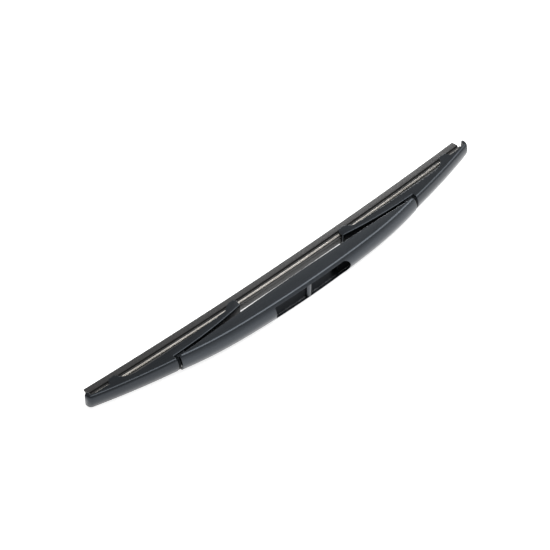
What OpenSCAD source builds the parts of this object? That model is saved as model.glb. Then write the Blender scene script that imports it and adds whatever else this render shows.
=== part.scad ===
// Rear window wiper blade: a domed bridge, two rocking yokes, a rubber element and two steel strips.
// The blade lies on its side: X runs along it, +Y points to the glass and Z is across its width.
// The origin is the centre of the cross pin that the wiper arm takes hold of.

/* [Blade] */
// Overall length from tip to tip
blade_length = 346; // [330:1:370]
// Radius that the rubber and strips are curved to off the glass
camber_r = 3480; // [3000:10:5000]

/* [Rubber] */
// Clearance between the rubber's square cut end and the yoke's hook
rubber_end_fit = 1.8; // [0.5:0.1:3]
// Thickness of the wiping lip at its edge
lip_edge_t = 0.7; // [0.4:0.05:1]
// Depth of the lip from its edge to its shoulder
lip_depth = 5.3; // [4:0.1:5.6]
// Width across the lip's shoulder
shoulder_w = 3.2; // [2:0.1:4]
// Width of the neck that lets the lip flip over
neck_w = 0.9; // [0.6:0.05:1.4]
// Depth of the neck, between the shoulder and the flange
neck_depth = 2.1; // [1.5:0.1:2.3]
// Thickness of the flange on the lip side of the strips
flange_t = 1.75; // [1.2:0.05:1.8]
// Width of the flange
flange_w = 5.2; // [4.4:0.1:5.6]
// Width of the head
head_w = 5.6; // [4.8:0.1:6]
// Thickness of the head behind the strips
head_t = 1.3; // [0.8:0.05:1.4]
// Width of the web between the two strip slots
web_w = 2; // [1.6:0.1:2.4]

/* [Steel strips] */
// Thickness of a strip
strip_t = 1.2; // [0.8:0.05:1.25]
// Width of a strip
strip_w = 2.9; // [2.4:0.1:3]
// Distance that a strip stops short of the rubber's end
strip_short = 3.5; // [1:0.5:5]
// Clearance around a strip in its slot
strip_fit = 0.05; // [0.02:0.01:0.1]

/* [Bridge] */
// Half width of the bridge at the arm pin
bridge_w_mid = 8.2; // [7.8:0.1:8.8]
// Half width of the bridge at its ends
bridge_w_end = 7.5; // [7.2:0.1:7.8]
// Distance from the arm pin's axis back to the crown
crown_back = 4.6; // [4:0.1:5.2]
// Distance from the arm pin's axis forward to the rim at mid length
rim_front = 10.3; // [9.6:0.1:10.5]
// How much the rim rises towards the crown at the ends
rim_rise = 1.7; // [1.2:0.1:2]
// Radius of the dome across the width
dome_r = 9.9; // [9.4:0.1:12]
// Length at each end over which the crown bends more
crown_end_l = 46.5; // [36:0.5:54]
// Distance from the arm pin's axis back to the crown where its two arcs meet
crown_knee_back = 2.4; // [1.8:0.1:2.8]
// Distance from the arm pin's axis forward to the crown at the bridge's ends
crown_end_front = 4.5; // [3.8:0.1:4.8]
// Wall of the bridge
bridge_wall = 1.5; // [1.2:0.1:1.7]
// Thickness of the stiffening ribs
rib_t = 1; // [0.8:0.1:1.4]
// Distance from one stiffening rib to the next
rib_pitch = 16; // [12:1:20]

/* [Arm slot] */
// Half width of the slot in the bridge's back
slot_half = 6.3; // [5.6:0.1:6.5]
// Distance from the pin to the slot's square end
slot_square_end = 31.5; // [26:0.5:36]
// Distance from the pin to the slot's round end
slot_round_end = 36; // [30:0.5:40]
// Radius of the arm pin
arm_pin_r = 2.2; // [1.8:0.1:2.5]
// Depth of the slot's deepest edge, from the arm pin's axis towards the glass
slot_floor = 2; // [1.5:0.1:2.5]

/* [Yoke hinge] */
// Distance from the bridge's end in to a yoke's hinge pin
hinge_inset = 10.5; // [9.5:0.5:12]
// Distance from the arm pin to a yoke's hinge pin, towards the glass
hinge_y = 7.8; // [7.6:0.05:7.9]
// Radius of a hinge pin
hinge_pin_r = 1.4; // [1.2:0.05:1.5]
// Radial clearance of a hinge pin in its ear
hinge_fit = 0.05; // [0.03:0.01:0.08]
// Wall of the open ears that clip onto the pin
ear_wall = 1.3; // [1:0.1:1.4]
// Thickness of each ear along its pin
ear_t = 1.8; // [1.4:0.1:2.4]
// Clearance between an ear and the bridge's wall
ear_side_fit = 1.5; // [0.4:0.1:1.8]
// Height of the ears past the pin's axis, which keeps them on it
ear_grip = 0.9; // [0.6:0.05:1]

/* [Yokes] */
// Distance that a yoke reaches past the bridge's end
yoke_reach = 66.5; // [60:0.5:74]
// Gap between the bridge's end and a yoke's domed shell
yoke_gap = 2.4; // [2.2:0.1:4]
// Length of the collar that a shell has in the gap and inside the bridge
collar_l = 8.8; // [6:0.2:9]
// Half width of the collar
collar_half = 5.4; // [4.8:0.1:5.5]
// Depth of the collar's crown below the shell's
collar_sink = 2.2; // [2:0.1:3]
// Half width of the shell at the gap
yoke_w_gap = 6.6; // [6.3:0.1:7]
// Half width of the shell at the outer claw, and of the arm at the inner one
yoke_w_claw = 6; // [5.8:0.1:6.3]
// Half width of the shell at the tip
yoke_w_tip = 5.8; // [5.4:0.1:6]
// Radius of the shell's dome across the width
yoke_dome_r = 10.9; // [9.5:0.1:13]
// How much nearer to the glass the shell's crown starts than the bridge's crown ends
yoke_crown_step = 1.3; // [1:0.1:2]
// Depth of the crown at the tip, behind the lip
yoke_tip_depth = 13; // [12:0.1:13.6]
// Wall of the yokes
yoke_wall = 1.2; // [1:0.05:1.25]
// Depth of the arch behind the lip, half way between the claws
arch_depth = 13.45; // [13:0.05:14]
// Radius of the arch
arch_r = 806; // [600:10:1000]
// Distance from the hinge pin's axis forward to the arm's back
arm_front = 3.45; // [3.2:0.05:4]
// Thickness of the arm where both its sides run along the blade
arm_t = 5.75; // [4.6:0.05:7]
// Radius of the arm's back
arm_back_r = 370; // [340:5:420]
// Distance from the hinge pin out to the place where the arm's back is lowest
arm_back_out = 9; // [6:0.5:12]

/* [Claws] */
// Distance from the hinge pin in to the centre of the inner claw
arm_reach = 46; // [42:0.5:48]
// Length of the inner claw's lip along the blade
inner_claw_l = 4; // [3:0.1:5]
// Distance from the tip in to the centre of the outer claw
outer_claw_inset = 22.6; // [20:0.2:24]
// Length of the outer claw's lip along the blade
outer_claw_l = 5.2; // [4:0.1:6]
// Half width of the mouth between the claw lips
mouth_half = 3.2; // [2.9:0.05:3.4]
// Thickness of the claw lips
claw_t = 1.9; // [1.5:0.1:2.1]
// Clearance between the strips and the claws
claw_fit = 0.3; // [0.2:0.05:0.4]
// Clearance between the rubber's head and its seats
seat_fit = 0.1; // [0.05:0.05:0.3]
// Inner face of the hook that stops the rubber's end, from the tip
hook_t = 3; // [2.4:0.1:4]
// Depth of the hook's top, from the lip's level at the tip
hook_d = 6.7; // [6.4:0.1:7]
// Fall of the hook's top towards the tip
hook_fall = 1.4; // [0.6:0.1:1.6]
// Radius of the tip's back corner
tip_r = 1.8; // [1:0.1:2]

/* [Hidden] */
plastic = "#2a2d31";
rubber = "#3f4041";
steel = "#c9c6be";
$fn = 96;
eps = 0.01;
// Reach of a cut past the face that it opens
over = 40;

// Depths behind the lip's edge, worked out from the rubber's section
flange_d = lip_depth + neck_depth;
slot_d = flange_d + flange_t;
strip_d = slot_d + strip_fit;
head_d = strip_d + strip_t + strip_fit;
back_d = head_d + head_t;
claw_lip_d = strip_d - claw_fit;
claw_top_d = claw_lip_d - claw_t;
seat_d = back_d + seat_fit;

strip_in = web_w / 2 + strip_fit;
strip_out = strip_in + strip_w;
tunnel_half = strip_out + claw_fit;

// Places along the blade, worked in from its tip
tip_x = blade_length / 2;
hook_x = tip_x - hook_t;
outer_claw_x = tip_x - outer_claw_inset;
bridge_half = tip_x - yoke_reach;
shell_x = bridge_half + yoke_gap;
hinge_x = bridge_half - hinge_inset;
arm_back_x = hinge_x + arm_back_out;
inner_claw_x = hinge_x - arm_reach;
rubber_half = hook_x - rubber_end_fit;
strip_half = rubber_half - strip_short;

// The rubber lies against the claws, so the yokes set how far the lip is from the arm pin
arch_mid_x = (inner_claw_x + outer_claw_x) / 2;
arch_mid_y = hinge_y + arm_front + arm_t;

// The camber's centre, and the height of a point that lies a depth behind the lip
camber_y = arch_mid_y + arch_depth + sqrt(camber_r ^ 2 - arch_mid_x ^ 2);
function lip_y(x, depth) = camber_y - sqrt((camber_r + depth) ^ 2 - x ^ 2);
function camber_angle(x) = asin(x / camber_r);

// A corner of an outline, rounded to a radius in corner_steps steps
corner_steps = 6;
function unit(v) = v / norm(v);
function turned(from, to) = (to - from + 540) % 360 - 180;
function corner(a, b, c, r) =
    let (u = unit(a - b))
    let (v = unit(c - b))
    let (half = acos(u * v) / 2)
    let (centre = b + unit(u + v) * r / sin(half))
    let (p = b + u * r / tan(half) - centre)
    let (q = b + v * r / tan(half) - centre)
    let (start = atan2(p.y, p.x))
    let (sweep = turned(start, atan2(q.y, q.x)))
    [for (i = [0 : corner_steps]) centre + r * [cos(start + sweep * i / corner_steps),
                                                sin(start + sweep * i / corner_steps)]];
// An outline whose points are [x, y, radius of the corner]
function rounded(pts) =
    let (n = len(pts))
    [for (i = [0 : n - 1])
        let (a = pts[(i + n - 1) % n], b = pts[i], c = pts[(i + 1) % n])
        each b.z > 0 ? corner([a.x, a.y], [b.x, b.y], [c.x, c.y], b.z) : [[b.x, b.y]]];

// A band of the cambered section, swept from one place along the blade to another
module cambered(from_x, to_x) {
    start = camber_angle(from_x);
    translate([0, camber_y, 0])
        rotate([0, 0, 270 + start])
            rotate_extrude(angle = camber_angle(to_x) - start, $fn = 2400)
                translate([camber_r, 0])
                    children();
}

// A solid in the blade's side view, as thick as twice the half width
module side_slab(half) {
    translate([0, 0, -half])
        linear_extrude(2 * half)
            children();
}

// A solid from an outline seen from the back, with its second axis along Z
module plan_slab() {
    translate([0, over, 0])
        rotate([90, 0, 0])
            linear_extrude(2 * over)
                children();
}

// Bridge
// The crown's end arc touches its middle arc at the knee. Both radii are whole millimetres.
crown_knee = bridge_half - crown_end_l;
knee_rise = crown_back - crown_knee_back;
crown_mid_r = round((crown_knee ^ 2 + knee_rise ^ 2) / (2 * knee_rise));
knee_angle = asin(crown_knee / crown_mid_r);
end_run = [crown_end_l, crown_end_front + crown_knee_back];
crown_end_r = round(end_run * end_run / (2 * end_run * [-sin(knee_angle), cos(knee_angle)]));
end_centre_x = (crown_mid_r - crown_end_r) * sin(knee_angle);
end_sweep = asin((bridge_half + 2 - end_centre_x) / crown_end_r) - knee_angle;

function bridge_half_w(x) = bridge_w_mid - (bridge_w_mid - bridge_w_end) * (x / bridge_half) ^ 2;
function rim_y(x) = rim_front - rim_rise * (x / bridge_half) ^ 2;

// Radius of the corners that the ends have as seen from the back
end_corner_r = 1.6;

// The dome's section across the width, with a skirt that reaches past the rim
module dome_section(inset) {
    skirt = crown_back + rim_front + 4;
    half = dome_r - inset - 0.4;
    translate([-dome_r, 0])
        circle(dome_r - inset);
    translate([-skirt, -half])
        square([skirt - dome_r, 2 * half]);
}

// The right-hand half of the domed crown. Both arcs start from the section at the knee.
module crown_half(inset) {
    translate([0, crown_mid_r - crown_back, 0])
        rotate([0, 0, 270 + knee_angle]) {
            mirror([0, 1, 0])
                rotate_extrude(angle = knee_angle + 0.5, $fn = 1440)
                    translate([crown_mid_r, 0])
                        dome_section(inset);
            translate([crown_mid_r - crown_end_r, 0, 0])
                rotate_extrude(angle = end_sweep, $fn = 1440)
                    translate([crown_end_r, 0])
                        dome_section(inset);
        }
}

// The right-hand half of the bridge's outline from the back, drawn in by the wall for its hollow
module bridge_plan(inset, end_inset, r) {
    stations = 4;
    xe = bridge_half - end_inset;
    upper = [for (i = [0 : stations])
        let (x = xe * i / stations)
        [x, bridge_half_w(x) - inset, i == stations ? r : 0]];
    lower = [for (i = [stations : -1 : 0]) [upper[i].x, -upper[i].y, upper[i].z]];
    polygon(rounded([each upper, each lower]));
}

module bridge_side() {
    stations = 6;
    rim = [for (i = [0 : stations])
        let (x = bridge_half * i / stations)
        [x, rim_y(x), i == stations ? 1 : 0]];
    polygon(rounded([each rim, [bridge_half, -over, 0], [0, -over, 0]]));
}

// Places of the cross ribs in one half, from beside the hinge to clear of the arm slot
hinge_rib_gap = 12;
slot_rib_gap = 10;
rib_below_rim = 1.6;
rib_places = [for (x = [hinge_x - hinge_rib_gap : -rib_pitch : slot_round_end + slot_rib_gap]) x];

module cross_rib(x) {
    translate([x, -over, -over])
        cube([rib_t, over + rim_y(x) - rib_below_rim, 2 * over]);
}

module bridge_half_shell() {
    difference() {
        intersection() {
            crown_half(0);
            plan_slab()
                bridge_plan(0, 0, end_corner_r);
            side_slab(over)
                bridge_side();
        }
        difference() {
            intersection() {
                crown_half(bridge_wall);
                plan_slab()
                    bridge_plan(bridge_wall, -1, 0);
            }
            for (x = rib_places)
                cross_rib(x);
            arm_pin();
        }
    }
}

// Ribs that close the arm slot off at both ends
module slot_ribs() {
    for (x = [-slot_square_end - rib_t, slot_round_end - slot_half - rib_t])
        intersection() {
            cross_rib(x);
            side_slab(bridge_half_w(0) - bridge_wall / 2)
                translate([-bridge_half, slot_floor])
                    square([2 * bridge_half, over]);
        }
}

module arm_slot() {
    round_x = slot_round_end - slot_half;
    translate([round_x, slot_floor, 0])
        rotate([90, 0, 0])
            cylinder(r = slot_half, h = over);
    translate([-slot_square_end, slot_floor - over, -slot_half])
        cube([slot_square_end + round_x, over, 2 * slot_half]);
}

// The cross pin that the arm's hook takes, left standing where the hollow and the slot are cut
module arm_pin() {
    translate([0, 0, -over])
        cylinder(r = arm_pin_r, h = 2 * over);
}

// A hinge pin, rooted in both walls of the bridge
module hinge_pin() {
    half = bridge_half_w(hinge_x) - bridge_wall / 2;
    translate([hinge_x, hinge_y, -half])
        cylinder(r = hinge_pin_r, h = 2 * half);
}

module primary_bridge() {
    color(plastic) {
        difference() {
            for (side = [0, 1])
                mirror([side, 0, 0])
                    bridge_half_shell();
            difference() {
                arm_slot();
                arm_pin();
            }
        }
        slot_ribs();
        for (side = [0, 1])
            mirror([side, 0, 0])
                hinge_pin();
    }
}

// Yokes, drawn for the right-hand end
function arch_y(x) = arch_mid_y + (x - arch_mid_x) ^ 2 / (2 * arch_r);
function arm_back_y(x) = hinge_y + arm_front + (x - arm_back_x) ^ 2 / (2 * arm_back_r);

// The shell's crown is an arc through its ends, with its centre over mid length
shell_crown = [shell_x, crown_end_front + yoke_crown_step];
tip_crown = [tip_x, lip_y(tip_x, yoke_tip_depth)];
crown_centre_y = (tip_crown * tip_crown - shell_crown * shell_crown) / (2 * (tip_crown.y - shell_crown.y));
yoke_crown_r = norm([0, crown_centre_y] - tip_crown);

arm_nose_l = 1.4;
arm_end_x = inner_claw_x - inner_claw_l / 2 - arm_nose_l;
inner_top = lip_y(inner_claw_x, claw_top_d);
outer_top = lip_y(outer_claw_x, claw_top_d);
inner_flank_x = inner_claw_x + inner_claw_l / 2;
outer_flank_x = outer_claw_x + outer_claw_l / 2;
outer_root_x = outer_claw_x - outer_claw_l / 2;
// The window beside the rubber's end shows the strip's edge
window_d = strip_d + strip_t + 0.2;

// The claw at the arm's inner end and the arch, as seen from the side
function arch_points() = [
    [arm_end_x, inner_top - 2.5, 1],
    [inner_claw_x - inner_claw_l / 2, inner_top, 0.8],
    [inner_flank_x, inner_top, 0.8],
    [inner_flank_x + 3.4, inner_top - 1.6, 1.5],
    [inner_flank_x + 6.2, arch_y(inner_flank_x + 6.2) + 0.3, 2],
    for (i = [1 : 6])
        let (x = inner_flank_x + 9 + (outer_root_x - 12 - inner_flank_x - 9) * i / 6)
        [x, arch_y(x), 0]
];

function outer_claw_points() = [
    [outer_root_x - 6.5, arch_y(outer_root_x - 6.5) + 0.7, 4],
    [outer_root_x - 2.4, outer_top - 3.6, 1.5],
    [outer_root_x, outer_top, 0.8],
    [outer_flank_x, outer_top, 0.8],
    [outer_flank_x + 1.8, lip_y(outer_flank_x + 1.8, window_d), 1],
    [hook_x - 1.2, lip_y(hook_x - 1.2, window_d), 0.8]
];

// The hook stands up past the rubber's end and rounds over to the crown
tip_run = 12;
tip_slope = 30;
tip_corner_y = tip_crown.y + 0.4;
function hook_points() = [
    [hook_x, lip_y(hook_x, hook_d + 0.3), 0.5],
    [tip_x - 1.3, lip_y(tip_x, hook_d + 0.3), 1],
    [tip_x, lip_y(tip_x, hook_d + hook_fall), 0.9],
    [tip_x, tip_corner_y, tip_r],
    [tip_x - tip_run, tip_corner_y - tip_run * tan(tip_slope), 0]
];

module arm_side() {
    back_x = shell_x + 14;
    steps = 8;
    back = [for (i = [0 : steps])
        let (x = back_x + (arm_end_x - back_x) * i / steps)
        [x, arm_back_y(x), i == steps ? 1 : 0]];
    polygon(rounded([each arch_points(), [back_x, arch_y(back_x) - 3, 0], each back]));
}

module shell_side() {
    first = [shell_x, arch_y(shell_x), 0];
    mid = [for (i = [1 : 3])
        let (x = shell_x + (outer_root_x - 12 - shell_x) * i / 3)
        [x, arch_y(x), 0]];
    polygon(rounded([first, each mid, each outer_claw_points(), each hook_points(),
                     [tip_x - tip_run, -over, 0], [shell_x, -over, 0]]));
}

// The yoke's outline from the back, drawn in by the wall for its hollow
module yoke_plan(inset, to_x, r) {
    pts = [[arm_end_x - eps, yoke_w_claw - inset, r / 2],
           [shell_x, yoke_w_gap - inset, 0],
           [outer_claw_x, yoke_w_claw - inset, 0],
           [to_x, yoke_w_tip - inset, r]];
    mirrored = [for (i = [len(pts) - 1 : -1 : 0]) [pts[i].x, -pts[i].y, pts[i].z]];
    polygon(rounded([each pts, each mirrored]));
}

module yoke_crown(inset) {
    from_a = asin((shell_x - collar_l - 2) / yoke_crown_r);
    to_a = asin((tip_x + 2) / yoke_crown_r);
    translate([0, crown_centre_y, 0])
        rotate([0, 0, 270 + from_a])
            rotate_extrude(angle = to_a - from_a, $fn = 1440)
                translate([yoke_crown_r - yoke_dome_r, 0])
                    circle(yoke_dome_r - inset);
}

// The outline from the back ends this far past the tip, clear of its flat end
tip_allowance = 0.2;

module yoke_blank() {
    intersection() {
        plan_slab()
            yoke_plan(0, tip_x + tip_allowance, end_corner_r);
        union() {
            intersection() {
                yoke_crown(0);
                side_slab(over)
                    shell_side();
            }
            side_slab(over)
                arm_side();
        }
    }
    collar(0, arm_back_y(arm_back_x) + yoke_wall / 2);
}

// The sunk neck that joins the shell to the arm inside the bridge's end
module collar(inset, to_y) {
    from_x = shell_x - collar_l + inset;
    half = collar_half - inset;
    intersection() {
        yoke_crown(collar_sink + inset);
        translate([from_x, -over, -half])
            cube([shell_x + 2 * yoke_wall - from_x, over + to_y, 2 * half]);
    }
}

// Places of the yoke's cross ribs, in the arm from its claw to the hinge and then in the shell
yoke_rib_t = 1;
yoke_rib_pitch = 12;
yoke_rib_below = 1.2;
arm_rib_from = inner_claw_x + 16;
arm_rib_to = hinge_x - 14;
shell_rib_from = shell_x + 8;
shell_rib_to = outer_root_x - 6;
yoke_ribs = [
    for (x = [arm_rib_from : yoke_rib_pitch : arm_rib_to]) x,
    for (x = [shell_rib_from : yoke_rib_pitch : shell_rib_to]) x
];

module yoke_hollow() {
    difference() {
        union() {
            intersection() {
                plan_slab()
                    yoke_plan(yoke_wall, hook_x, 0);
                union() {
                    intersection() {
                        yoke_crown(yoke_wall);
                        translate([shell_x + yoke_wall, -over, -over])
                            cube([blade_length, 2 * over, 2 * over]);
                    }
                    side_slab(over)
                        arm_hollow_side();
                }
            }
            collar(yoke_wall, arm_back_y(arm_back_x) + 2 * yoke_wall);
        }
        for (x = yoke_ribs)
            translate([x, -over, -over])
                cube([yoke_rib_t, over + arch_y(x) - yoke_rib_below, 2 * over]);
        claw_web(arm_end_x - 1, inner_flank_x + 3, over);
        claw_web(outer_root_x - 0.5, outer_flank_x + 0.5, yoke_wall);
    }
}

module arm_hollow_side() {
    to_x = shell_x + 10;
    steps = 8;
    back = [for (i = [0 : steps])
        let (x = to_x + (arm_end_x - to_x) * i / steps)
        [x, arm_back_y(x) + yoke_wall]];
    polygon([[arm_end_x, over], [to_x, over], each back]);
}

// The web behind the rubber's head at a claw, with the claw's cheeks
module claw_web(from_x, to_x, web) {
    mid_x = (from_x + to_x) / 2;
    translate([from_x, lip_y(mid_x, seat_d) - web, -over])
        cube([to_x - from_x, over + web, 2 * over]);
}

// The way for the rubber and strips through the claws, and the mouth that the lip passes
module rubber_way() {
    reach = 12;
    cambered(inner_claw_x - reach, hook_x) {
        translate([claw_lip_d, -tunnel_half])
            square([seat_d - claw_lip_d, 2 * tunnel_half]);
        translate([-reach, -mouth_half])
            square([reach + claw_lip_d + eps, 2 * mouth_half]);
    }
}

// A pair of open ears that clip round the hinge pin
module hinge_ears() {
    outer_z = bridge_half_w(hinge_x) - bridge_wall - ear_side_fit;
    ear_r = hinge_pin_r + hinge_fit + ear_wall;
    for (side = [0, 1])
        mirror([0, 0, side])
            translate([hinge_x, hinge_y, outer_z - ear_t])
                difference() {
                    union() {
                        cylinder(r = ear_r, h = ear_t);
                        translate([-ear_r, 0, 0])
                            cube([2 * ear_r, arm_back_y(hinge_x) - hinge_y + yoke_wall / 2, ear_t]);
                    }
                    translate([0, 0, -eps])
                        cylinder(r = hinge_pin_r + hinge_fit, h = ear_t + 2 * eps);
                    translate([-ear_r - eps, -ear_r - ear_grip, -eps])
                        cube([2 * ear_r + 2 * eps, ear_r, ear_t + 2 * eps]);
                }
}

module yoke() {
    color(plastic) {
        difference() {
            yoke_blank();
            yoke_hollow();
            rubber_way();
        }
        hinge_ears();
    }
}

module yoke_right() {
    yoke();
}

module yoke_left() {
    mirror([1, 0, 0])
        yoke();
}

// The rubber's section, with depth behind the lip as its first axis
module rubber_section() {
    half = [
        [0, lip_edge_t / 2],
        [lip_depth, shoulder_w / 2],
        [lip_depth + 0.3, neck_w / 2],
        [flange_d, neck_w / 2],
        [flange_d, flange_w / 2 - 0.3],
        [flange_d + 0.3, flange_w / 2],
        [slot_d, flange_w / 2],
        [slot_d, web_w / 2],
        [head_d, web_w / 2],
        [head_d, head_w / 2],
        [back_d - 0.2, head_w / 2],
        [back_d, head_w / 2 - 0.2]
    ];
    polygon([each half, for (i = [len(half) - 1 : -1 : 0]) [half[i].x, -half[i].y]]);
}

module rubber_element() {
    color(rubber)
        cambered(-rubber_half, rubber_half)
            rubber_section();
}

module flexor(side) {
    color(steel)
        cambered(-strip_half, strip_half)
            translate([strip_d, side > 0 ? strip_in : -strip_out])
                square([strip_t, strip_w]);
}

module flexor_near() {
    flexor(1);
}

module flexor_far() {
    flexor(-1);
}

primary_bridge();
yoke_left();
yoke_right();
rubber_element();
flexor_near();
flexor_far();
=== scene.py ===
import math

import bmesh
import bpy
from mathutils import Matrix, Vector

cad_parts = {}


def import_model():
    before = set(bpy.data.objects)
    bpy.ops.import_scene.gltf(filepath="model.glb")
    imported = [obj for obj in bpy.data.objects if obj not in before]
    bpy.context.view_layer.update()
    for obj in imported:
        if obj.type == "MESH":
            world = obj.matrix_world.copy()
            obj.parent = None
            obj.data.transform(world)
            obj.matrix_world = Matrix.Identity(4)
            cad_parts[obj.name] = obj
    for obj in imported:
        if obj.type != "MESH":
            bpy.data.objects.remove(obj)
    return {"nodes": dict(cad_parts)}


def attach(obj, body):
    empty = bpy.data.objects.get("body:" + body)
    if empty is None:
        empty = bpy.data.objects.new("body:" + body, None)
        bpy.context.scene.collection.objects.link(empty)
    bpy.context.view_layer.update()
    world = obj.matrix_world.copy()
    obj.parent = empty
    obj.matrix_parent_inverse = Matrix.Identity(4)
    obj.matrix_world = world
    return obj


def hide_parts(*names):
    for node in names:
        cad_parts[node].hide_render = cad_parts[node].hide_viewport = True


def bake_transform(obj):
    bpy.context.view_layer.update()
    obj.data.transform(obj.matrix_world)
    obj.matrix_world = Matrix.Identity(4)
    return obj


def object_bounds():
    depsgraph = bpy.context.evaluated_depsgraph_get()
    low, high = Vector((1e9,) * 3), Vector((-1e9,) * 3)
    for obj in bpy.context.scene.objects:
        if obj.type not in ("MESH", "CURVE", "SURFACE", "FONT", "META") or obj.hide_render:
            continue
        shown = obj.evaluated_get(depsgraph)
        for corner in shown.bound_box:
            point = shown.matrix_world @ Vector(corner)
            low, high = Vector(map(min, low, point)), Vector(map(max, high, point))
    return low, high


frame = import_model()
CAD_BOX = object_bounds()

MM = 0.001
WHITE = (1, 1, 1)
BLACK = (0, 0, 0)

# Camera
CAMERA_ELEVATION = math.radians(50)
CAMERA_AZIMUTH = math.radians(-41.32)
CAMERA_DISTANCE = 1570 * MM
CAMERA_RIGHT = 2.79 * MM
CAMERA_DOWN = 12.84 * MM
CAMERA_SENSOR = 36
CAMERA_LENS = 149.4
AIM = Vector((0, 38.3 * MM, 0))

# Light, as strengths: on the object, in mirrored rays, and on the floor
AMBIENT = 0.34
MIRRORED_HORIZON = 1.9
MIRRORED_OVERHEAD = 0.36
MIRRORED_TOP = 0.8
FLOOR_SEEN = 0.8
FLOOR_MIRRORED = 1.3
FLOOR_GREY = (0.86, 0.86, 0.86)
FLOOR_REACH = 6.0

# Moulded plastic
GRAIN_SCALE = 2600
FLOW_SCALE = 160
CLOUD_SCALE = 90
SOFT_EDGE = 0.2 * MM
RECESS_REACH = 7 * MM
SHINE_TINT = (0.8, 0.885, 1, 1)

# Deep shadow in the pocket at the arm slot's round end, inside the bridge's dome
POCKET_X = 29.7 * MM
POCKET_R = 6.33 * MM
POCKET_SPAN = (28.6 * MM, 42 * MM)
INNER_HALF_W = 7.4 * MM
INNER_CENTRE_Y = 6.1 * MM
INNER_R = 9.3 * MM

# Deep shadow on the sill in front of a yoke's shell, and on the arm's back inside the bridge
GAP_SPAN = (106.8 * MM, 108.88 * MM)
GAP_LEVEL = 11.2 * MM
ARM_SHADED_TO = 104 * MM
FACING_BACK = -0.7

# Painted light on the steel: its colour is painted darker from mid length towards the right end
STEEL_PAINTED_LIGHT = (1.12, 0.52)
STEEL_PAINTED_LIGHT_TO = 160 * MM

# Moulded skins, in millimetres. They lie this far inside the CAD's surfaces.
SKIN = 0.04
# Beyond any part of a section
FAR = 50
# How far apart the rings are along the blade, and where they are on a rounded edge
PITCH = 2.4
MIDDLE_PITCH = 2.6
ROUNDING = (0.04, 0.09, 0.16, 0.25, 0.36, 0.5)
RING_MARGIN = 0.01
# Steps round the parts of a section
DOME_STEPS = 14
RIDGE_STEPS = 7
RIM_STEPS = 4
ARM_EDGE_STEPS = 6

# Joining of solids and cleaning of what it leaves, in metres
SOLVER = "MANIFOLD"
SOLID_WELD = 2e-6
WELD = 3e-6
SLIVER = 2e-6
SKIN_SHARP = math.radians(24)

# Bridge, in millimetres. An arc is its centre's x and y and its radius, and the crown's two arcs
# meet at the knee.
BRIDGE_END = 106.5
BRIDGE_DOME = 9.9
BRIDGE_RIDGE = 2.8
BRIDGE_HALF_W = 8.2
BRIDGE_NARROWING = 0.7
BRIDGE_EDGE = 0.5
RIM_LEVEL = 10.3
RIM_DROP = 1.7
RIM_UNDER = 0.015
RIM_R = 0.08
KNEE = 60
MID_ARC = (0, 814.4, 819)
END_ARC = (36.703, 314.746, 318)
PLAN_CORNER = 1.6

# Yokes, in millimetres
SHELL_START = 108.9
SHELL_FRONT = 1.5
TIP = 173
YOKE_DOME = 10.9
YOKE_RIDGE = 2.4
YOKE_EDGE = 0.5
YOKE_ARC = (0, 636.404, 639.938)
YOKE_WIDTHS = ((46.6, 6.0), (108.9, 6.6), (150.4, 6.0), (173.2, 5.8))
NOSE_CENTRE = (168.5, 23.71)
NOSE_R = 4.5
NOSE_FROM = 169.69
NOSE_PLAN = 1.9
NOSE_STEPS = (4.4, 3.6, 2.8, 2.1, 1.5, 1.1, 0.8, 0.55, 0.38, 0.25, 0.15, 0.08, 0.03)
ARM_START = 44
ARM_MIDDLE = 0.5
ARM_EDGE = 1.0
ARM_DRAFT = 0.01
ARM_UNDER = 0.005
ARM_BACK_LEVEL = 11.27
ARM_BACK_FROM = 46.6
ARM_BACK_LENGTH = 76.3
ARM_BACK_LOWEST = (105, 11.25)
ARM_BACK_BEND = 740
ARM_BACK_STEPS = 8
FRONT_ROUND_LEVELS = (ARM_BACK_LEVEL - 0.9, ARM_BACK_LEVEL - 0.2)
WALL_STEP = 0.1
SILL_LEVEL = 10.8
SILL_FROM = 106.95
SILL_OVERLAP = 0.6
SILL_HALF_W = 6.2
SILL_RIDGE = 2.0
SILL_INSET = 0.4

# Rubber and strips, which follow one camber in two halves that meet at mid length
CAMBER_R = 3480 * MM
CAMBER_CENTRE_Y = 3509.008 * MM
SWEEP_STEPS = 64
SWEEP_SHARP = math.radians(35)
CORNER_STEPS = 4
RUBBER_HALF_LENGTH = 168.2 * MM
STRIP_HALF_LENGTH = 164.7 * MM

# Their sections, in millimetres behind the lip's edge and across the blade
LIP_HALF = 0.35
SHOULDER = (5.3, 1.6)
NECK_HALF = 0.45
FLANGE_D = 7.4
FLANGE_HALF = 2.6
SLOT_D = 9.15
WEB_HALF = 1.0
HEAD_D = 10.45
HEAD_HALF = 2.95
BACK_D = 11.84
STRIP_FIT = 0.05
STRIP_IN = 1.05
STRIP_OUT = 3.95
# A shallow groove along a strip's edge, whose inside is painted dark as shade
GROOVE_D = (9.96, 10.2)
GROOVE_IN = 3.75
# How far past the groove and before the head their looks reach
ZONE_MARGIN = 0.01
HEAD_MARGIN = 0.2


def link(obj):
    bpy.context.scene.collection.objects.link(obj)
    return obj


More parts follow.
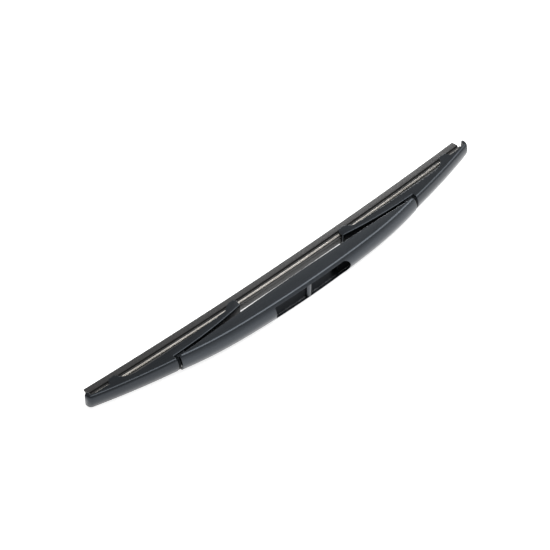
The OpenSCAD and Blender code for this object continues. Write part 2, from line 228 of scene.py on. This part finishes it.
# Materials
class Nodes:
    """The node tree of a material or a world, with a few short ways to add to it."""

    def __init__(self, owner, shader="Principled BSDF", place="Object"):
        owner.use_nodes = True
        self.owner = owner
        self.tree = owner.node_tree
        self.shader = self.tree.nodes[shader]
        self.place = self.add("ShaderNodeTexCoord").outputs[place]

    def give(self, target, value):
        """Link another node's output to a socket, or set the socket to a constant."""
        if isinstance(value, bpy.types.NodeSocket):
            self.tree.links.new(value, target)
        else:
            target.default_value = value

    def feed(self, name, value):
        """Give one of the shader's sockets its value."""
        self.give(self.shader.inputs[name], value)

    def add(self, kind, inputs=None, **settings):
        node = self.tree.nodes.new(kind)
        for key, value in settings.items():
            setattr(node, key, value)
        for name, value in (inputs or {}).items():
            self.give(node.inputs[name], value)
        return node

    def noise(self, scale, detail=3.0, rough=0.5, stretch=(1, 1, 1)):
        """Noise whose place is stretched by a scale for each axis."""
        place = self.add("ShaderNodeMapping", {"Vector": self.place, "Scale": stretch}).outputs["Vector"]
        inputs = {"Vector": place, "Scale": scale, "Detail": detail, "Roughness": rough}
        return self.add("ShaderNodeTexNoise", inputs).outputs["Fac"]

    def ramp(self, value, stops):
        """Colours placed along a value, as (place, colour)."""
        node = self.add("ShaderNodeValToRGB", {"Fac": value})
        elements = node.color_ramp.elements
        for element, (place, colour) in zip(elements, stops):
            element.position = place
            element.color = (*colour, 1)
        return node.outputs["Color"]

    def spread(self, value, low, high, start=0, stop=1):
        """A value between start and stop, spread from low to high."""
        inputs = {"Value": value, "From Min": start, "From Max": stop, "To Min": low, "To Max": high}
        return self.add("ShaderNodeMapRange", inputs).outputs["Result"]

    def calc(self, operation, *values):
        return self.add("ShaderNodeMath", dict(enumerate(values)), operation=operation).outputs["Value"]

    def mix(self, factor, first, second, kind="FLOAT"):
        inputs = {"Factor": factor, "A": first, "B": second}
        return self.add("ShaderNodeMix", inputs, data_type=kind).outputs["Result"]

    def axes(self, vector):
        return self.add("ShaderNodeSeparateXYZ", {"Vector": vector}).outputs

    def within(self, value, low, high):
        """1 where a value is between low and high and 0 elsewhere."""
        above = self.calc("GREATER_THAN", value, low)
        return self.calc("MULTIPLY", above, self.calc("LESS_THAN", value, high))

    def distance(self, first, second):
        """How far two coordinates are from the middle of their plane."""
        squares = [self.calc("MULTIPLY", value, value) for value in (first, second)]
        return self.calc("SQRT", self.calc("ADD", *squares))

    def surface(self, name):
        """A property of the surface, such as its true normal."""
        return self.add("ShaderNodeNewGeometry").outputs[name]

    def zone(self):
        """The value that a swept piece gives each of its faces."""
        return self.add("ShaderNodeAttribute", attribute_name="zone").outputs["Fac"]

    def openness(self, reach, closed, open_at):
        """0 deep in a recess and 1 out in the open."""
        around = self.add("ShaderNodeAmbientOcclusion", {"Distance": reach}, samples=8).outputs["AO"]
        return self.spread(around, 0, 1, closed, open_at)

    def bump(self, height, distance, strength, under=None):
        inputs = {"Height": height, "Distance": distance, "Strength": strength}
        if under is not None:
            inputs["Normal"] = under
        return self.add("ShaderNodeBump", inputs).outputs["Normal"]


def material_nodes(name):
    return Nodes(bpy.data.materials.new(name))


def grey(value, blue=0.0):
    return (value, value * (1 + 0.5 * blue), value * (1 + blue))


def painted_pocket_shade(n):
    """1 in the deep pocket at the arm slot's round end, where shade is painted, and 0 elsewhere."""
    axes = n.axes(n.place)
    width = n.calc("ABSOLUTE", axes["Z"])
    from_pocket = n.distance(n.calc("SUBTRACT", axes["X"], POCKET_X), width)
    from_middle = n.distance(n.calc("SUBTRACT", axes["Y"], INNER_CENTRE_Y), width)
    round_wall = n.calc("LESS_THAN", from_pocket, POCKET_R)
    inside = n.calc("LESS_THAN", from_middle, INNER_R)
    inner_wall = n.calc("MULTIPLY", n.calc("LESS_THAN", width, INNER_HALF_W), inside)
    return n.calc("MULTIPLY", n.calc("MAXIMUM", round_wall, inner_wall), n.within(axes["X"], *POCKET_SPAN))


def painted_gap_shade(n):
    """1 on the sill before a yoke's shell and on the arm's back, where shade is painted, and 0 elsewhere.
    """
    axes = n.axes(n.place)
    far = n.calc("ABSOLUTE", axes["X"])
    sill = n.calc("MULTIPLY", n.within(far, *GAP_SPAN), n.calc("LESS_THAN", axes["Y"], GAP_LEVEL))
    facing = n.calc("LESS_THAN", n.axes(n.surface("True Normal"))["Y"], FACING_BACK)
    return n.calc("MAXIMUM", sill, n.calc("MULTIPLY", facing, n.calc("LESS_THAN", far, ARM_SHADED_TO)))


def moulded_plastic(name, base, roughness, shine, unlit):
    """Satin black moulded plastic: fine grain, faint flow along the blade and small soft edges.

    unlit gives the surfaces that lie in deep shadow. There, and in recesses found by ambient occlusion,
    the reflections are cut down as painted shade.
    """
    n = material_nodes(name)
    cloud = n.noise(CLOUD_SCALE, detail=4, rough=0.6)
    tint = n.ramp(cloud, [(0.3, grey(base * 0.8, 0.5)), (0.7, grey(base * 1.25, 0.4))])
    worn = n.ramp(n.surface("Pointiness"), [(0.52, BLACK), (0.64, WHITE)])
    n.feed("Base Color", n.mix(worn, tint, (*grey(base * 1.8, 0.3), 1), "RGBA"))
    grain = n.noise(GRAIN_SCALE, detail=3, rough=0.6)
    flow = n.noise(FLOW_SCALE, detail=4, rough=0.6, stretch=(0.25, 3, 3))
    n.feed("Roughness", n.spread(flow, roughness - 0.05, roughness + 0.05))
    n.feed("Specular Tint", SHINE_TINT)
    soft = n.add("ShaderNodeBevel", {"Radius": SOFT_EDGE}, samples=6).outputs["Normal"]
    fine = n.bump(grain, distance=0.02 * MM, strength=0.35, under=soft)
    n.feed("Normal", n.bump(flow, distance=0.03 * MM, strength=0.2, under=fine))
    # Painted shade: reflections fade in recesses, read from ambient occlusion, and drop to a tenth where
    # unlit marks deep shadow
    level = n.spread(n.openness(RECESS_REACH, 0.3, 0.9), 0.04, shine)
    n.feed("Specular IOR Level", n.calc("MULTIPLY", level, n.spread(unlit(n), 1, 0.1)))
    return n.owner


def wiping_rubber(name):
    """Extruded rubber: drawn lines along the blade, a grey graphite bloom and a dry surface."""
    n = material_nodes(name)
    drawn = n.noise(1.0, detail=5, rough=0.65, stretch=(24, 2600, 2600))
    bloom = n.noise(140, detail=5, rough=0.65)
    both = n.calc("MULTIPLY_ADD", drawn, 0.45, n.spread(bloom, 0, 0.55))
    n.feed("Base Color", n.ramp(both, [(0.3, (0.019, 0.019, 0.0195)), (0.72, (0.032, 0.0315, 0.031))]))
    n.feed("Roughness", n.spread(bloom, 0.5, 0.68))
    fine = n.bump(drawn, distance=0.02 * MM, strength=0.5)
    n.feed("Normal", n.bump(n.noise(4200, detail=2), distance=0.01 * MM, strength=0.4, under=fine))
    # The head behind the strips has no graphite on it, so it is the glossier part
    # Painted shade: the reflections fade out in the rubber's recesses, read from ambient occlusion
    open_air = n.openness(6 * MM, 0.15, 0.7)
    n.feed("Specular IOR Level", n.calc("MULTIPLY", open_air, n.spread(n.zone(), 0.2, 0.7)))
    return n.owner


def strip_steel(name):
    """Cold rolled spring steel: bright, with rolling lines along the strip and faint stains. Painted light
    and shade: its colour darkens towards the right end and is dark in the groove along its edge.
    """
    n = material_nodes(name)
    rolled = n.noise(1.0, detail=4, rough=0.6, stretch=(40, 5200, 5200))
    stain = n.noise(70, detail=5, rough=0.6)
    tint = n.ramp(stain, [(0.3, (0.5, 0.47, 0.425)), (0.65, (0.68, 0.65, 0.6))])
    # Painted light and shade: the colour darkens from mid length towards the right end
    painted_light = n.spread(n.axes(n.place)["X"], *STEEL_PAINTED_LIGHT, 0, STEEL_PAINTED_LIGHT_TO)
    shaded = {0: tint, "Scale": n.calc("MULTIPLY", painted_light, n.zone())}
    n.feed("Base Color", n.add("ShaderNodeVectorMath", shaded, operation="SCALE").outputs["Vector"])
    n.feed("Metallic", n.zone())
    n.feed("Roughness", n.spread(rolled, 0.26, 0.44))
    n.feed("Normal", n.bump(rolled, distance=0.012 * MM, strength=0.5))
    return n.owner


BRIDGE_PLASTIC = moulded_plastic("bridge_plastic", base=0.006, roughness=0.29, shine=0.55, unlit=painted_pocket_shade)
YOKE_PLASTIC = moulded_plastic("yoke_plastic", base=0.004, roughness=0.29, shine=0.42, unlit=painted_gap_shade)
RUBBER = wiping_rubber("rubber")
STEEL = strip_steel("steel")


# Meshes
def meshed(name, work):
    """An object made of a finished bmesh, which is used up."""
    mesh = bpy.data.meshes.new(name)
    work.to_mesh(mesh)
    work.free()
    return link(bpy.data.objects.new(name, mesh))


def closed_tube(work, rings, zones=None):
    """Faces between rings of vertices and across both ends. zones has a value for each side."""
    count = len(rings[0])
    layer = work.faces.layers.float.new("zone") if zones else None
    for first, second in zip(rings, rings[1:]):
        for k in range(count):
            face = work.faces.new((first[k], first[(k + 1) % count], second[(k + 1) % count], second[k]))
            if zones:
                face[layer] = zones[k]
    for end in (rings[0][::-1], rings[-1]):
        face = work.faces.new(end)
        if zones:
            face[layer] = zones[0]
    bmesh.ops.recalc_face_normals(work, faces=work.faces)


def smoothed(work, sharp):
    """Smooth faces, with sharp edges only where the form turns by more than an angle."""
    for face in work.faces:
        face.smooth = True
    for edge in work.edges:
        edge.smooth = len(edge.link_faces) == 2 and edge.calc_face_angle() < sharp


# Moulded skins: domed sections with rounded ridges, lofted along the blade, in millimetres
def quarter(count):
    """The angles of a quarter circle in so many steps."""
    return [math.pi / 2 * k / count for k in range(count + 1)]


def between(x, table):
    """A value read off a table of (place, value), level beyond its ends."""
    if x <= table[0][0]:
        return table[0][1]
    for (x0, v0), (x1, v1) in zip(table, table[1:]):
        if x <= x1:
            return v0 + (v1 - v0) * (x - x0) / (x1 - x0)
    return table[-1][1]


def corner_loss(x, end, r):
    """What a round corner of radius r, whose last point is at end, takes off the side at x."""
    t = min(max(x - (end - r), 0), r)
    return r - math.sqrt(r * r - t * t)


def dome_half(x, arc, dome_r, half_w, ridge_r, inset, shift=0):
    """One side of a domed section as (y, z), from its middle round the ridge to the wall."""
    arc_x, arc_y, arc_r = arc
    r = dome_r - inset
    ridge_z = half_w - inset - ridge_r
    ridge_depth = dome_r - math.sqrt((r - ridge_r) ** 2 - ridge_z * ridge_z)
    ridge_from = math.asin(ridge_z / (r - ridge_r))
    points = []
    for k in range(DOME_STEPS + 1):
        turn = ridge_from * k / DOME_STEPS
        points.append((dome_r - r * math.cos(turn), r * math.sin(turn)))
    for k in range(1, RIDGE_STEPS + 1):
        turn = ridge_from + (math.pi / 2 - ridge_from) * k / RIDGE_STEPS
        points.append((ridge_depth - ridge_r * math.cos(turn), ridge_z + ridge_r * math.sin(turn)))
    return [(arc_y - math.sqrt((arc_r - depth) ** 2 - (x - arc_x) ** 2) + shift, z) for depth, z in points]


def whole_ring(x, half):
    """Both sides of a section whose first point is in the middle or beside it."""
    points = half + [(y, -z) for y, z in reversed(half) if z > 0]
    return [(x, y, z) for y, z in points]


def bridge_ring(x):
    """The bridge's section at x, with its crown's arc and its small round rim."""
    far = abs(x)
    taper = (x / BRIDGE_END) ** 2
    arc_x, arc_y, arc_r = MID_ARC if far <= KNEE else END_ARC
    half_w = BRIDGE_HALF_W - BRIDGE_NARROWING * taper - corner_loss(far, BRIDGE_END, PLAN_CORNER)
    inset = SKIN + corner_loss(far, BRIDGE_END, BRIDGE_EDGE)
    half = dome_half(x, (math.copysign(arc_x, x), arc_y, arc_r), BRIDGE_DOME, half_w, BRIDGE_RIDGE, inset)
    rim_y = RIM_LEVEL - RIM_DROP * taper - RIM_UNDER - RIM_R
    rim_z = half[-1][1] - RIM_R
    for turn in quarter(RIM_STEPS):
        half.append((rim_y + RIM_R * math.sin(turn), rim_z + RIM_R * math.cos(turn)))
    return whole_ring(x, half)


def nose_shift(x):
    """How far the nose's curve lifts the crown near the tip."""
    if x <= NOSE_FROM:
        return 0
    crown = YOKE_ARC[1] - math.sqrt(YOKE_ARC[2] ** 2 - x * x)
    nose = NOSE_CENTRE[1] - math.sqrt(max(NOSE_R ** 2 - (x - NOSE_CENTRE[0]) ** 2, 0))
    return max(nose - crown, 0)


def shell_ring(x):
    """The section of a yoke's outer shell at x."""
    half_w = between(x, YOKE_WIDTHS) - corner_loss(x, TIP, NOSE_PLAN)
    front = corner_loss(2 * SHELL_START - x, SHELL_START, YOKE_EDGE) if x < SHELL_START + YOKE_EDGE else 0
    tip = SKIN + corner_loss(x, TIP, YOKE_EDGE)
    half = dome_half(x, YOKE_ARC, YOKE_DOME, half_w, YOKE_RIDGE, tip + front, nose_shift(x))
    # The front edge is rounded only where it stands clear of the arm
    w = half_w - tip
    low = half[-1][0]
    for k, (level, z) in enumerate(zip(FRONT_ROUND_LEVELS, (w - front, w)), 1):
        half.append((max(level, low + WALL_STEP * k), z))
    return whole_ring(x, half + [(FAR, w)])


def arm_back():
    """Points along the back of a yoke's arm, as (x, y)."""
    lowest_x, lowest_y = ARM_BACK_LOWEST
    places = [ARM_BACK_FROM + ARM_BACK_LENGTH * i / ARM_BACK_STEPS for i in range(ARM_BACK_STEPS + 1)]
    return [(x, lowest_y + (x - lowest_x) ** 2 / ARM_BACK_BEND) for x in places]


def arm_ring(x, back_points):
    """The section of a yoke's arm at x, with rounded edges along its back."""
    w = between(x, YOKE_WIDTHS) - SKIN
    edge_y = between(x, back_points) - ARM_UNDER + ARM_EDGE
    edge_z = w - ARM_EDGE
    half = [(-FAR, ARM_MIDDLE), (-FAR, edge_z - ARM_DRAFT)]
    for turn in quarter(ARM_EDGE_STEPS):
        half.append((edge_y - ARM_EDGE * math.cos(turn), edge_z + ARM_EDGE * math.sin(turn)))
    return whole_ring(x, half + [(FAR, w)])


def sill_ring(x):
    """The low sill in front of a yoke's shell, which closes most of the gap's depth; its reflections are
    cut as painted shade, so the gap looks dark.
    """
    half = dome_half(x, YOKE_ARC, YOKE_DOME, SILL_HALF_W, SILL_RIDGE, SILL_INSET)
    return whole_ring(x, half + [(SILL_LEVEL, half[-1][1])])


def steps(start, stop, pitch):
    """Places from start up to stop, but without it, about a pitch apart."""
    count = max(1, round(abs(stop - start) / pitch))
    return [start + (stop - start) * i / count for i in range(count)]


def lofted(name, rings, mirrored=False):
    """A closed solid through rings of points given in millimetres."""
    work = bmesh.new()
    sign = -1 if mirrored else 1
    rows = [[work.verts.new((sign * x * MM, y * MM, z * MM)) for x, y, z in ring] for ring in rings]
    closed_tube(work, rows)
    return meshed(name, work)


def solid_of(node):
    """A copy of a CAD node's solid with its vertices joined."""
    work = bmesh.new()
    work.from_mesh(frame["nodes"][node].data)
    bmesh.ops.remove_doubles(work, verts=work.verts, dist=SOLID_WELD)
    return meshed(node + "_solid", work)


def combined(name, first, second, operation):
    """What a boolean of two closed solids leaves. Both of them are used up."""
    modifier = first.modifiers.new("both", "BOOLEAN")
    modifier.operation = operation
    modifier.solver = SOLVER
    modifier.object = second
    bpy.context.view_layer.update()
    graph = bpy.context.evaluated_depsgraph_get()
    mesh = bpy.data.meshes.new_from_object(first.evaluated_get(graph))
    for used in (first, second):
        bpy.data.objects.remove(used)
    return link(bpy.data.objects.new(name, mesh))


def finished(obj, material):
    """Clean, smooth surfaces of one material."""
    work = bmesh.new()
    work.from_mesh(obj.data)
    bmesh.ops.remove_doubles(work, verts=work.verts, dist=WELD)
    bmesh.ops.dissolve_degenerate(work, edges=work.edges, dist=SLIVER)
    smoothed(work, SKIN_SHARP)
    work.to_mesh(obj.data)
    work.free()
    obj.data.materials.clear()
    obj.data.materials.append(material)
    return obj


def bridge_moulding():
    ends = [BRIDGE_END - d for d in (2 * RING_MARGIN, *ROUNDING, 0.8, 1.2, PLAN_CORNER)]
    places = ends + steps(BRIDGE_END - PITCH, KNEE, PITCH) + steps(KNEE, 0, MIDDLE_PITCH)
    places = places + [0] + [-x for x in reversed(places)]
    skin = lofted("bridge_skin", [bridge_ring(x) for x in places])
    return finished(combined("bridge", solid_of("primary_bridge"), skin, "INTERSECT"), BRIDGE_PLASTIC)


def yoke_moulding(node, mirrored):
    front = [SHELL_START + d for d in (-RING_MARGIN, RING_MARGIN, *ROUNDING)]
    nose = [TIP - d for d in NOSE_STEPS]
    places = front + steps(SHELL_START + SHELL_FRONT, nose[0], PITCH) + nose
    shell = lofted("shell_skin", [shell_ring(x) for x in places], mirrored)
    back = arm_back()
    places = [ARM_START] + [x for x, y in back if x < SHELL_START] + [SHELL_START - RING_MARGIN / 2]
    arm = lofted("arm_skin", [arm_ring(x, back) for x in places], mirrored)
    shell = combined("shell", solid_of(node), shell, "INTERSECT")
    arm = combined("arm", solid_of(node), arm, "INTERSECT")
    sill = lofted("sill", [sill_ring(x) for x in (SILL_FROM, SHELL_START + SILL_OVERLAP)], mirrored)
    arm = combined("arm", arm, sill, "UNION")
    return finished(combined(node + "_shell", shell, arm, "UNION"), YOKE_PLASTIC)


# Rubber and strips: sections swept along the camber
def rounded(points):
    """An outline whose points are (depth, z, radius) in millimetres, with its corners as arcs."""
    out = []
    count = len(points)
    for i, (depth, z, r) in enumerate(points):
        corner = Vector((depth, z))
        if r == 0:
            out.append(corner * MM)
            continue
        before = (Vector(points[i - 1][:2]) - corner).normalized()
        after = (Vector(points[(i + 1) % count][:2]) - corner).normalized()
        half = before.angle(after) / 2
        centre = corner + (before + after).normalized() * (r / math.sin(half))
        first = corner + before * (r / math.tan(half)) - centre
        last = corner + after * (r / math.tan(half)) - centre
        sweep = first.angle_signed(last)
        for k in range(CORNER_STEPS + 1):
            turn = Matrix.Rotation(-sweep * k / CORNER_STEPS, 2)
            out.append((centre + turn @ first) * MM)
    return out


def swept(name, outline, x_from, x_to, material, zone):
    """A closed sweep of an outline of (depth behind the lip, z) along the camber.

    zone gives each face's value for the material from the middle of its side of the outline, as
    (depth, z) in millimetres.
    """
    work = bmesh.new()
    rings = []
    for i in range(SWEEP_STEPS + 1):
        angle = math.asin((x_from + (x_to - x_from) * i / SWEEP_STEPS) / CAMBER_R)
        ring = []
        for depth, z in outline:
            r = CAMBER_R + depth
            ring.append(work.verts.new((r * math.sin(angle), CAMBER_CENTRE_Y - r * math.cos(angle), z)))
        rings.append(ring)
    sides = zip(outline, outline[1:] + outline[:1])
    zones = [zone(((d0 + d1) / 2 / MM, abs(z0 + z1) / 2 / MM)) for (d0, z0), (d1, z1) in sides]
    closed_tube(work, rings, zones)
    smoothed(work, SWEEP_SHARP)
    piece = meshed(name, work)
    piece.data.materials.append(material)
    return piece


def rubber_outline():
    side = [
        (0, LIP_HALF, 0.12),
        (SHOULDER[0] - 0.35, SHOULDER[1], 0.3),
        (SHOULDER[0], SHOULDER[1] - 0.25, 0.15),
        (SHOULDER[0] + 0.3, NECK_HALF, 0.12),
        (FLANGE_D, NECK_HALF, 0.2),
        (FLANGE_D, FLANGE_HALF, 0.3),
        (SLOT_D, FLANGE_HALF, 0.1),
        (SLOT_D, WEB_HALF, 0.05),
        (HEAD_D, WEB_HALF, 0.05),
        (HEAD_D, HEAD_HALF, 0.12),
        (BACK_D, HEAD_HALF, 0.12),
    ]
    return rounded(side + [(d, -z, r) for d, z, r in reversed(side)])


def strip_outline(sign):
    corners = [
        (SLOT_D + STRIP_FIT, STRIP_IN, 0.12),
        (SLOT_D + STRIP_FIT, STRIP_OUT, 0.07),
        (GROOVE_D[0], STRIP_OUT, 0),
        (GROOVE_D[0], GROOVE_IN, 0),
        (GROOVE_D[1], GROOVE_IN, 0),
        (GROOVE_D[1], STRIP_OUT, 0),
        (HEAD_D - STRIP_FIT, STRIP_OUT, 0.12),
        (HEAD_D - STRIP_FIT, STRIP_IN, 0.12),
    ]
    return rounded([(d, z * sign, r) for d, z, r in corners])


def rubber_zone(middle):
    """1 on the head and 0 on the rest."""
    return 1.0 if middle[0] > HEAD_D - HEAD_MARGIN else 0.0


def strip_zone(middle):
    """How bright and how metallic the strip is: 1 up to the groove, 0.1 in it, where it is painted dark as
    shade, and 0.8 behind it.
    """
    depth, z = middle
    beside = GROOVE_D[0] - ZONE_MARGIN < depth < GROOVE_D[1] + ZONE_MARGIN
    if beside and z > GROOVE_IN - ZONE_MARGIN:
        return 0.1
    return 1.0 if depth < GROOVE_D[1] else 0.8


def bending(name, outline, half_length, nodes, material, zone):
    """Both halves of a piece, from mid length out towards each yoke."""
    for side, yoke in ((-1, "yoke_left"), (1, "yoke_right")):
        ends = sorted((0, side * half_length))
        piece = swept(f"{name}_{yoke[5:]}", outline, *ends, material, zone)
        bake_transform(piece)
        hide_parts(nodes)


def mouldings():
    """The bridge and the yokes, each on its body."""
    for piece, node, body, slot in (
        (bridge_moulding(), "primary_bridge", "bridge", "frame_plastic"),
        (yoke_moulding("yoke_left", True), "yoke_left", "yoke_left", "yoke_plastic"),
        (yoke_moulding("yoke_right", False), "yoke_right", "yoke_right", "yoke_plastic"),
    ):
        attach(piece, body)
        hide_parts(node)


def rubber():
    outline = rubber_outline()
    bending("rubber", outline, RUBBER_HALF_LENGTH, "rubber_element", RUBBER, rubber_zone)


def strips():
    for side, sign in (("near", 1), ("far", -1)):
        name, node = "strip_" + side, "flexor_" + side
        bending(name, strip_outline(sign), STRIP_HALF_LENGTH, node, STEEL, strip_zone)


# Stage
def floor():
    """A plain pale floor that looks white and keeps the object's shadow."""
    low = CAD_BOX[0].z
    mesh = bpy.data.meshes.new("floor")
    corners = [(x * FLOOR_REACH, y * FLOOR_REACH, low) for x, y in ((-1, -1), (1, -1), (1, 1), (-1, 1))]
    mesh.from_pydata(corners, [], [(0, 1, 2, 3)])
    obj = link(bpy.data.objects.new("floor", mesh))
    n = material_nodes("floor")
    n.feed("Base Color", (*FLOOR_GREY, 1))
    n.feed("Roughness", 0.9)
    n.feed("Specular IOR Level", 0.0)
    n.feed("Emission Color", (*WHITE, 1))
    path = n.add("ShaderNodeLightPath").outputs
    seen = n.calc("MULTIPLY", path["Is Camera Ray"], FLOOR_SEEN)
    n.feed("Emission Strength", n.calc("MULTIPLY_ADD", path["Is Glossy Ray"], FLOOR_MIRRORED, seen))
    mesh.materials.append(n.owner)


def world():
    """A white studio, which is brighter round the horizon than overhead where it is mirrored."""
    scene = bpy.context.scene
    scene.world = bpy.data.worlds.new("studio")
    n = Nodes(scene.world, "Background", "Generated")
    path = n.add("ShaderNodeLightPath").outputs
    mirrored = n.spread(n.axes(n.place)["Z"], MIRRORED_HORIZON, MIRRORED_OVERHEAD, 0, MIRRORED_TOP)
    lit = n.mix(path["Is Glossy Ray"], AMBIENT, mirrored)
    n.feed("Strength", n.mix(path["Is Camera Ray"], lit, 1.0))
    n.feed("Color", (*WHITE, 1))


def lamp(name, direction, distance, size, radiance):
    """A soft light that faces the object, given by what it looks like in a mirror."""
    data = bpy.data.lights.new(name, "AREA")
    data.shape = "RECTANGLE"
    data.size, data.size_y = size
    data.energy = radiance * math.pi * size[0] * size[1]
    obj = link(bpy.data.objects.new(name, data))
    back = Vector(direction).normalized()
    obj.location = back * distance
    obj.rotation_mode = "QUATERNION"
    side = (Vector((1, 0, 0)) - back * back.x).normalized()
    obj.rotation_quaternion = Matrix((side, back.cross(side), back)).transposed().to_quaternion()


def lamps():
    lamp("overhead", direction=(0.42, -0.05, 0.90), distance=1.7, size=(1.5, 0.95), radiance=5.6)
    lamp("right", direction=(0.62, 0.78, 0.08), distance=0.38, size=(0.2, 0.14), radiance=13.0)


def camera():
    level = math.cos(CAMERA_ELEVATION)
    side = (math.sin(CAMERA_AZIMUTH) * level, -math.cos(CAMERA_AZIMUTH) * level)
    back = Vector((*side, math.sin(CAMERA_ELEVATION)))
    right = Vector((math.cos(CAMERA_AZIMUTH), math.sin(CAMERA_AZIMUTH), 0))
    up = back.cross(right)
    data = bpy.data.cameras.new("camera")
    data.sensor_width = CAMERA_SENSOR
    data.lens = CAMERA_LENS
    obj = link(bpy.data.objects.new("camera", data))
    place = AIM + back * CAMERA_DISTANCE + right * CAMERA_RIGHT - up * CAMERA_DOWN
    axes = Matrix((right, up, back)).transposed().to_4x4()
    obj.matrix_world = Matrix.Translation(place) @ axes
    bpy.context.scene.camera = obj


bpy.context.scene.view_settings.view_transform = "Standard"
camera()
world()
lamps()
floor()
mouldings()
rubber()
strips()
